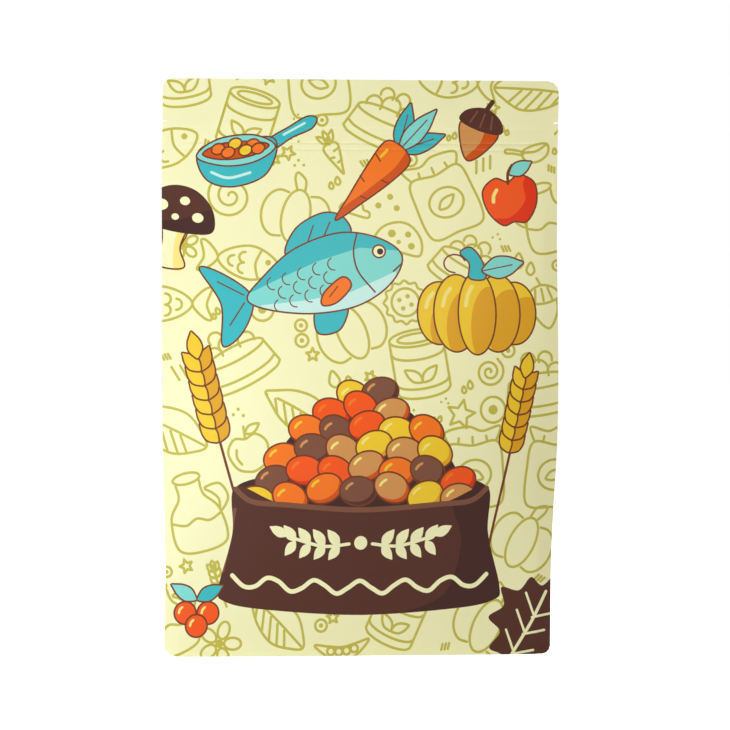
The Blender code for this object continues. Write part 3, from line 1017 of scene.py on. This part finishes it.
def printed_web(name, outline, folds, marks, fine_heights):
    """The flat web as a mesh: printed skin in front, plain skin behind and the cut edge between."""
    low, high = outline.min(0), outline.max(0)
    fold_heights = np.arange(low[1], high[1] + 1, FOLD_STEP)
    fold_paths = [(np.array([(x, z) for z in fold_heights]), False) for x in folds]
    shown = [mark for mark in marks if np.all(mark.path.max(0) > low) and np.all(mark.path.min(0) < high)]
    paths = [(outline, True)] + fold_paths + [(side, True) for mark in shown for side in mark.sides()]
    corners, faces, _ = triangles_within(outline, paths, grid_spots(outline, PRINT_PITCH, fine_heights))
    middles = corners[faces].mean(1)
    names = list(INKS)
    ink = np.full(len(faces), names.index("cream"))
    for mark in shown:
        ink[mark.covers(middles)] = names.index(mark.ink)

    rim = rim_of(faces)
    border = corners[rim]
    spots = grid_spots(outline, BACK_PITCH, fine_heights)
    back_corners, back_faces, origin = triangles_within(border, [(border, True)] + fold_paths, spots)
    count = len(corners)
    flat = np.concatenate([corners, back_corners]) / 1000
    layer = np.concatenate([np.zeros(count), np.full(len(back_corners), FILM)])
    points = np.column_stack([flat[:, 0], layer, flat[:, 1]])
    behind = [count + origin[k] for k in range(len(rim))]
    rim_faces = []
    for k, here in enumerate(rim):
        after = (k + 1) % len(rim)
        rim_faces.append((rim[after], here, behind[k], behind[after]))
    all_faces = faces.tolist() + (back_faces[:, ::-1] + count).tolist() + rim_faces
    mesh = bpy.data.meshes.new(name)
    mesh.from_pydata(points.tolist(), [], all_faces)
    mesh.shade_smooth()

    counts = [len(faces), len(back_faces), len(rim_faces)]
    sizes = [len(face) for face in all_faces]
    hidden_ink = np.repeat([names.index("film_back"), names.index("cream")], counts[1:])
    tints = np.array([(*linear(INKS[key]), 1.0) for key in names])
    colours = np.repeat(tints[np.concatenate([ink, hidden_ink])], sizes, axis=0)
    mesh.color_attributes.new("ink", "FLOAT_COLOR", "CORNER").data.foreach_set("color", colours.ravel())
    side = np.repeat(np.repeat([1.0, -1.0, 0.0], counts), sizes)
    mesh.attributes.new("skin", "FLOAT", "CORNER").data.foreach_set("value", side)
    longest = (high - low).max()
    chart = np.array([points[k] for face in all_faces for k in face])[:, [0, 2]] - low / 1000
    chart *= np.where(side == 1, PRINT_CHART, PLAIN_CHART)[:, None] / longest * 1000
    chart += CHART_GAP
    chart[side < 1, 0] += PRINT_CHART * (high - low)[0] / longest + CHART_GAP
    mesh.uv_layers.new(name="OFBake").data.foreach_set("uv", chart.ravel())
    return mesh


def form_piece(name, flat_mesh, tree, material, facing, seed, thicker_seal):
    """The flat web formed by the tree, as a plain mesh with the rule's own smooth normals."""
    piece = bpy.data.objects.new(name, flat_mesh)
    bpy.context.scene.collection.objects.link(piece)
    forming = piece.modifiers.new("forming", "NODES")
    forming.node_group = tree
    sizes = [FILM_WIDTH, GUSSET_WIDTH, FIN_WIDTH, DENT_HEIGHT, DENTS_PER_METRE, seed, facing, LEAN]
    values = {**dict(zip(FORM_LABELS, sizes)), "Thicker Seal": thicker_seal, "Material": material}
    for item in tree.interface.items_tree:
        if item.in_out == "INPUT" and item.name in values:
            forming[item.identifier] = values[item.name]
    graph = bpy.context.evaluated_depsgraph_get()
    formed = piece.evaluated_get(graph)
    mesh = bpy.data.meshes.new_from_object(formed, preserve_all_data_layers=True, depsgraph=graph)
    piece.modifiers.clear()
    piece.data = mesh
    mesh.name = name
    normals = np.empty(len(mesh.loops) * 3)
    mesh.attributes["film_normal"].data.foreach_get("vector", normals)
    side = np.empty(len(mesh.loops))
    mesh.attributes["skin"].data.foreach_get("value", side)
    mesh.normals_split_custom_set((normals.reshape(-1, 3) * side[:, None]).tolist())
    mesh.attributes.remove(mesh.attributes["film_normal"])
    mesh.attributes.remove(mesh.attributes["skin"])
    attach(piece, "root")
    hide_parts("pouch")
    return piece


# Its material: print under a matte lacquer, with a soft broad sheen and a faint uneven grain
def matte_film_effects():
    """Shader group: how dull the lacquer is from place to place, its grain, and a slight tint in the ink."""
    outputs = {"Roughness": "NodeSocketFloat", "Normal": "NodeSocketVector", "Tint": "NodeSocketFloat"}
    inputs = dict.fromkeys(("Dullness", "Grain per Metre", "Grain Height"), "NodeSocketFloat")
    tree, w, end = new_tree("matte_film_effects", inputs, outputs, "ShaderNodeTree")
    place = add_node(tree, "ShaderNodeTexCoord", {}, "Object")
    cloudy = noise(tree, place, 38.0, 3.0)
    grain = noise(tree, place, w["Grain per Metre"], 2.0, 0.6)
    ripple = noise(tree, place, 120.0, 1.0, 0.4)
    feeds = {"Height": grain + ripple * 2.0, "Distance": w["Grain Height"], "Strength": 1.0}
    put_out(tree, end, Roughness=w["Dullness"] + (cloudy - 0.5) * 0.16 + (grain - 0.5) * 0.08)
    put_out(tree, end, Normal=add_node(tree, "ShaderNodeBump", feeds), Tint=(cloudy - 0.5) * 0.05 + 1.0)
    return tree


film_effects = matte_film_effects()


def film_material(name, colour_source):
    """Matte film whose colour comes from colour_source, a function that adds its node to the tree."""
    material = bpy.data.materials.new(name)
    material.use_nodes = True
    tree = material.node_tree
    shader = tree.nodes["Principled BSDF"]
    effects = tree.nodes.new("ShaderNodeGroup")
    effects.node_tree = film_effects
    effects.inputs["Dullness"].default_value = 0.47
    effects.inputs["Grain per Metre"].default_value = 1500.0
    effects.inputs["Grain Height"].default_value = 0.00002
    feeds = {0: colour_source(tree), "Scale": Wire(tree, effects.outputs["Tint"])}
    tinted = add_node(tree, "ShaderNodeVectorMath", feeds, operation="SCALE")
    tree.links.new(tinted.socket, shader.inputs["Base Color"])
    for label in ("Roughness", "Normal"):
        tree.links.new(effects.outputs[label], shader.inputs[label])
    shader.inputs["IOR"].default_value = 1.48
    shader.inputs["Specular IOR Level"].default_value = 0.22
    return material


def ink_colour(tree):
    return add_node(tree, "ShaderNodeAttribute", {}, "Color", attribute_name="ink")


printed_film = film_material("printed_film", ink_colour)


# The front panel itself
DRAWN_HALF_WIDTH = round(HALF_FILM_MM)
DRAWN_HEIGHT = round(HEIGHT_MM)


def front_print():
    """The front's layout, from the back layer to the front."""
    bowl_inside, bowl_wall = picture_bowl()
    layout = (
        (picture_wheat(), -74, 112, 0.95, 14),
        (picture_wheat(), 76, 106, 0.85, -12),
        (bowl_inside + picture_heap() + bowl_wall, 0, 26),
        (picture_fish(), -25, 184, 0.94, 18),
        (picture_squash(), 58, 168, 0.92),
        (picture_carrot(), 8, 238, 0.85, -42),
        (picture_scoop(), -60, 246, 0.8, 8),
        (picture_apple(), 76, 226, 0.9, 10),
        (picture_mushroom(), -93, 214, 0.8, -12),
        (picture_oak_leaf(), 88, 14, 0.8, -30),
        (picture_acorn(), 60, 262, 0.7, -20),
        (picture_berries(), -84, 24, 0.9),
    )
    pictures = [mark.placed(*place) for marks, *place in layout for mark in marks]
    covers = [mark for mark in pictures if not mark.width and not mark.within]
    return ground_drawing(DRAWN_HALF_WIDTH, DRAWN_HEIGHT, 11, covers) + pictures


# Rows of corners, in millimetres, where the zipper's imprint and the fold need a finer mesh
FINE_ROWS = [1000 * z + step for z in ZIPPER_RIBS_Z + (ZIPPER_TAPE_Z,) for step in (-0.8, -0.4, 0, 0.4, 0.8)]
FINE_ROWS += [FOLD_Z * 1000 + step for step in (-1.2, 0, 1.2)]
FIN_ROOTS = (-FIN_ROOT_MM, FIN_ROOT_MM)
form_by_front_rule = forming_tree(front_rule())
front_outline = cut_outline(HALF_FILM_MM, HEIGHT_MM, (6.0, 4.0), (4.5, 6.0))
front_web = printed_web("front_web", front_outline, FIN_ROOTS, front_print(), FINE_ROWS)
form_piece("front_panel", front_web, form_by_front_rule, printed_film, 1.0, 0.31, 1.0)

# Back panel
# The back web is the same film cut to the mirrored outline, so that its fins meet the front's.
# It carries the line drawing alone, and is sealed to the gussets, the bottom and the front's top.
back_outline = cut_outline(HALF_FILM_MM, HEIGHT_MM, (4.0, 6.0), (6.0, 4.5))
back_print = ground_drawing(DRAWN_HALF_WIDTH, DRAWN_HEIGHT, 23)
back_web = printed_web("back_web", back_outline, FIN_ROOTS, back_print, FINE_ROWS)
form_piece("back_panel", back_web, form_by_front_rule, printed_film, -1.0, 0.77, 1.0)

# Side gussets
# Each side is one web, creased down its middle so that it folds in between the front and the
# back. Its two edges are sealed flat to theirs as the corner fins, and its head ends in the top seal.
# Its edges end just short of the other webs' fins, and its head reaches 2 mm into the top seal
GUSSET_FOLD_MM = GUSSET_WIDTH * 500
GUSSET_HALF_MM = GUSSET_FOLD_MM + FIN_WIDTH * 1000 - 0.1
GUSSET_TOP_MM = SEAL_Z * 1000 + 2
GUSSET_FOLDS = (-GUSSET_FOLD_MM, 0.0, GUSSET_FOLD_MM)
form_by_gusset_rule = forming_tree(gusset_rule())
for gusset, turned_to, seed, foot_radius in (("right_gusset", 1.0, 5, 4.0), ("left_gusset", -1.0, 9, 6.0)):
    gusset_outline = cut_outline(GUSSET_HALF_MM, GUSSET_TOP_MM, (foot_radius, foot_radius), (0.4, 0.4))
    gusset_print = ground_drawing(round(GUSSET_HALF_MM), DRAWN_HEIGHT, seed)
    gusset_web = printed_web(gusset + "_web", gusset_outline, GUSSET_FOLDS, gusset_print, ())
    form_piece(gusset, gusset_web, form_by_gusset_rule, printed_film, turned_to, seed / 10, 0.0)

# Bottom panel
# A plain oblong of the same film. Its edge is sealed inside the foot of the four walls as a
# narrow rim, and the weight of the food presses the rest of it flat on the shelf.
# Its rings from the edge inwards, as (inset, height) pairs
BOTTOM_RINGS = [(0.0002, 0.0), (0.0006, 0.0), (0.0007, 0.0016), (0.0024, 0.0017), (0.0034, 0.0009)]
BOTTOM_RINGS += [(0.0048, 0.0001), (0.0070, 0.0), (0.0150, 0.0002), (0.0250, 0.00005), (0.0330, 0.0001)]


def foot_loop():
    """The line of the walls' outer face at the floor, all round."""
    half_depth = GUSSET_WIDTH / 2
    quarter = []
    for u in np.linspace(0, 1, 25):
        quarter.append((u * FOOT_ROOT, -half_depth - FOOT_SWELL * (1 - u**SWELL_POWER)))
    for s in np.linspace(1, 0, 13)[1:]:
        quarter.append((FOOT_ROOT + FOOT_SWELL * SIDE_SWELL * (1 + s - 2 * s * s), -half_depth * s))
    half_loop = quarter + [(x, -y) for x, y in quarter[-2::-1]]
    return np.array(half_loop + [(-x, y) for x, y in half_loop[-2:0:-1]])


def bottom_mesh():
    """Rings from the sealed rim inwards, closed in the middle. The wall's thickness comes after."""
    around = foot_loop()
    half = around.max(0)
    points, faces = [], []
    count = len(around)
    for inset, height in BOTTOM_RINGS:
        ring = around * (half - inset) / half
        points += [(x - LEAN * BAG_HEIGHT / 2, y, height) for x, y in ring]
    for ring in range(len(BOTTOM_RINGS) - 1):
        for k in range(count):
            a, b = ring * count + k, ring * count + (k + 1) % count
            faces.append((a, a + count, b + count, b))
    last = (len(BOTTOM_RINGS) - 1) * count
    faces.append(tuple(range(last + count - 1, last - 1, -1)))
    mesh = bpy.data.meshes.new("bottom_panel")
    mesh.from_pydata(points, [], faces)
    mesh.shade_smooth()
    return mesh


DEEPER_CREAM = (244, 240, 190)


def plain_cream(tree):
    """The unprinted ground colour, a touch deeper in places."""
    place = add_node(tree, "ShaderNodeTexCoord", {}, "Object")
    tones = {6: (*linear(INKS["cream"]), 1.0), 7: (*linear(DEEPER_CREAM), 1.0)}
    return add_node(tree, "ShaderNodeMix", {0: noise(tree, place, 60.0, 2.0), **tones}, 2, data_type="RGBA")


bottom = bpy.data.objects.new("bottom_panel", bottom_mesh())
bpy.context.scene.collection.objects.link(bottom)
bottom.data.materials.append(film_material("plain_film", plain_cream))
film = bottom.modifiers.new("film", "SOLIDIFY")
film.thickness = FILM
film.offset = -1.0
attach(bottom, "root")
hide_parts("pouch")

# Stage
# A pale studio sweep with soft lamps. The bag stands on it, and it isn't part of the object.
def seen_as(tree, *rays):
    """1 for the rays of the named kinds, and 0 for others."""
    path = tree.nodes.new("ShaderNodeLightPath")
    seen = Wire(tree, path.outputs[rays[0]])
    for ray in rays[1:]:
        seen = seen.math("MAXIMUM", Wire(tree, path.outputs[ray]))
    return seen


def studio_surface(name, camera_glow):
    """Matte white that the camera sees near white, while it still takes the bag's shadow."""
    material = bpy.data.materials.new(name)
    material.use_nodes = True
    tree = material.node_tree
    shader = tree.nodes["Principled BSDF"]
    shader.inputs["Base Color"].default_value = (0.86, 0.86, 0.86, 1.0)
    shader.inputs["Roughness"].default_value = 0.9
    shader.inputs["Emission Color"].default_value = (1.0, 1.0, 1.0, 1.0)
    seen = seen_as(tree, "Is Camera Ray", "Is Glossy Ray")
    tree.links.new((seen * camera_glow).socket, shader.inputs["Emission Strength"])
    return material


bpy.ops.mesh.primitive_plane_add(size=12.0, location=(0.0, 3.0, -0.0002))
floor = bpy.context.object
floor.name = "studio_floor"
floor.data.materials.append(studio_surface("studio_white", 0.85))

world = bpy.data.worlds.new("studio")
bpy.context.scene.world = world
world.use_nodes = True
sky = world.node_tree
sky.nodes.clear()
seen_sky = seen_as(sky, "Is Camera Ray", "Is Glossy Ray", "Is Transmission Ray")
AMBIENT = 0.08
WARM = (1.0, 0.98, 0.93, 1.0)
WHITE = (1.0, 1.0, 1.0, 1.0)
tint = add_node(sky, "ShaderNodeMix", {0: seen_sky, 6: WARM, 7: WHITE}, 2, data_type="RGBA")
feeds = {"Color": tint, "Strength": seen_sky * (1.0 - AMBIENT) + AMBIENT}
background = add_node(sky, "ShaderNodeBackground", feeds)
world_end = sky.nodes.new("ShaderNodeOutputWorld")
sky.links.new(background.socket, world_end.inputs["Surface"])

BAG_MIDDLE = Vector((0.0, 0.0, BAG_HEIGHT / 2))


def softbox(name, place, size, power, colour):
    """A square soft lamp, turned to face the bag's middle."""
    lamp = bpy.data.lights.new(name, "AREA")
    lamp.size = size
    lamp.energy = power
    lamp.color = colour
    holder = bpy.data.objects.new(name, lamp)
    bpy.context.scene.collection.objects.link(holder)
    holder.location = place
    holder.rotation_euler = (BAG_MIDDLE - Vector(place)).to_track_quat("-Z", "Y").to_euler()


softbox("near_lamp", (-0.30, -0.35, 0.18), 0.3, 1.05, (0.81, 0.89, 1.0))
softbox("high_lamp", (0.10, -0.65, 1.3), 0.6, 8.7, (1.0, 0.95, 0.87))
for lamp_side in (-1, 1):
    softbox("back_lamp", (lamp_side * 1.1, 1.3, 0.9), 1.0, 12.0, (1.0, 0.98, 0.92))

# The camera stands level with the bag's middle, a little to its left
CAMERA_DISTANCE = 1.30
CAMERA_HEIGHT = 0.1423
CAMERA_YAW = math.radians(3.9)
PIXELS_PER_METRE = 1980.0
FRAME_PIXELS = 730.0
SENSOR = 0.036
BAG_MIDDLE_PIXEL = 357.5
camera_data = bpy.data.cameras.new("camera")
camera_data.sensor_width = SENSOR * 1000
camera_data.lens = SENSOR * 1000 * CAMERA_DISTANCE * PIXELS_PER_METRE / FRAME_PIXELS
camera = bpy.data.objects.new("camera", camera_data)
bpy.context.scene.collection.objects.link(camera)
shift = (FRAME_PIXELS / 2 - BAG_MIDDLE_PIXEL) / PIXELS_PER_METRE
to_right = Vector((math.cos(CAMERA_YAW), -math.sin(CAMERA_YAW), 0.0))
back_off = Vector((-math.sin(CAMERA_YAW), -math.cos(CAMERA_YAW), 0.0))
stand = to_right * shift + back_off * CAMERA_DISTANCE + Vector((0.0, 0.0, CAMERA_HEIGHT))
aim = (back_off * -1.0).to_track_quat("-Z", "Y").to_matrix().to_4x4()
camera.matrix_world = Matrix.Translation(stand) @ aim
bpy.context.scene.camera = camera
bpy.context.scene.view_settings.view_transform = "Standard"
